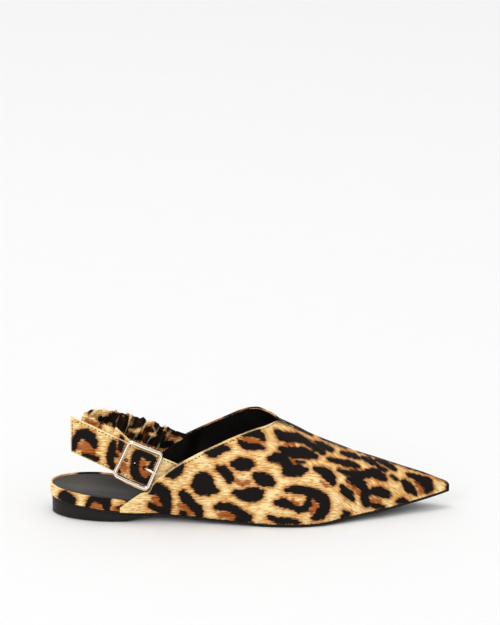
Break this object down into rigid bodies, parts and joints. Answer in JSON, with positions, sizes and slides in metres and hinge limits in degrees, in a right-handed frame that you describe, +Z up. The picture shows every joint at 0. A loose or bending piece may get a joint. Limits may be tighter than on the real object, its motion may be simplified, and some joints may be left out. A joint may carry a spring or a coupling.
{
  "type": "backless ballet flat",
  "caption": "Pointed flat with an open heel, leopard-print cloth upper, buckled slingback strap with ruched elastic, padded sock and low block heel.",
  "frame": {"origin": "on the floor, under the middle of the shoe's outline", "axes": "+X towards the toe, +Y towards the inner side of the foot, +Z up"},
  "size_m": [0.2656, 0.0778, 0.0712],
  "materials": {
    "print_cloth": "short-haired leopard print cloth",
    "sole_black": "satin black",
    "heel_black": "satin black",
    "band_cloth": "short-haired leopard print cloth",
    "sock_charcoal": "soft matt charcoal",
    "strap_cloth": "short-haired leopard print cloth",
    "ruched_cloth": "gathered leopard print cloth",
    "tab_cloth": "short-haired leopard print cloth",
    "buckle_metal": "polished pale gold",
    "prong_metal": "polished pale gold"
  },
  "bodies": {
    "root": {"upper": "print_cloth", "outsole": "sole_black", "heel": "heel_black", "heel_band": "band_cloth", "insole": "sock_charcoal", "strap": "strap_cloth", "elastic": "ruched_cloth", "tab": "tab_cloth", "buckle": "buckle_metal", "prong": "prong_metal"}
  },
  "joints": []
}
